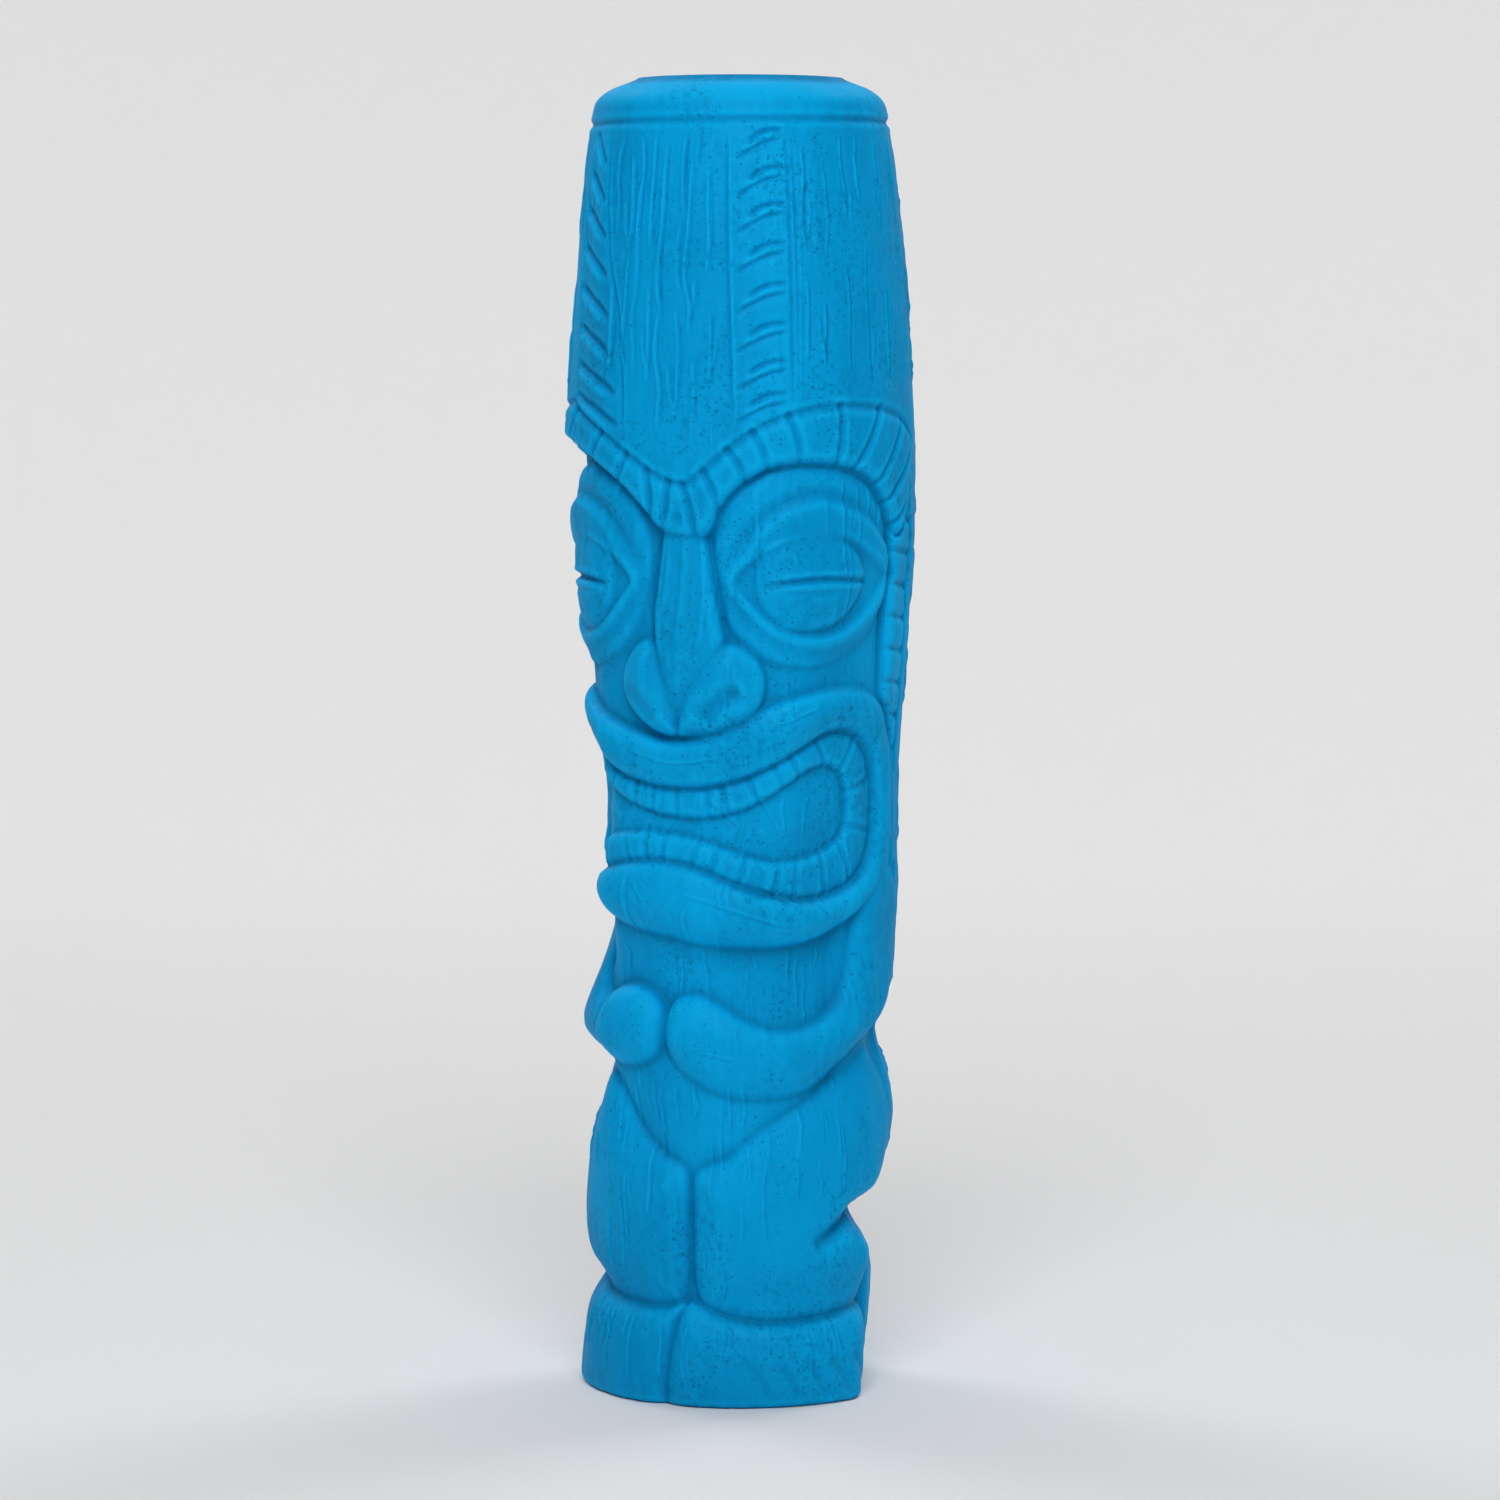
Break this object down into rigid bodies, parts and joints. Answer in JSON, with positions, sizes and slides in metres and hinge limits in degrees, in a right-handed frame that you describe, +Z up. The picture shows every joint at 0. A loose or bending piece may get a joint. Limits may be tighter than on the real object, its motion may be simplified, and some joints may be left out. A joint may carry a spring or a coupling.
{
  "type": "ceramic tiki mug",
  "caption": "Tall open-topped ceramic tiki mug: a standing idol carved in relief round a log-shaped cup, satin blue glaze over wood-grain texture.",
  "frame": {"origin": "centre of the underside of the base slab, on the surface the mug stands on", "axes": "+Z up the mug, the face and feet towards -Y, the tiki's own left arm towards +X"},
  "size_m": [0.062, 0.0606, 0.23],
  "materials": {
    "blue_glaze": "satin",
    "bare_clay": "satin"
  },
  "bodies": {
    "root": {"base_slab": "bare_clay", "cup_wall": "blue_glaze", "rim_band": "blue_glaze", "left_feather_strip": "blue_glaze", "right_feather_strip": "blue_glaze", "brow_band": "blue_glaze", "left_braid": "blue_glaze", "right_braid": "blue_glaze", "left_eye_mound": "blue_glaze", "right_eye_mound": "blue_glaze", "left_eyelids": "blue_glaze", "right_eyelids": "blue_glaze", "left_eyeball": "blue_glaze", "right_eyeball": "blue_glaze", "nose_bridge": "blue_glaze", "left_nostril": "blue_glaze", "right_nostril": "blue_glaze", "upper_lip": "blue_glaze", "upper_teeth": "blue_glaze", "lower_teeth": "blue_glaze", "jaw": "blue_glaze", "left_arm": "blue_glaze", "right_arm": "blue_glaze", "torso": "blue_glaze", "left_leg": "blue_glaze", "right_leg": "blue_glaze", "left_foot": "blue_glaze", "right_foot": "blue_glaze"}
  },
  "joints": []
}
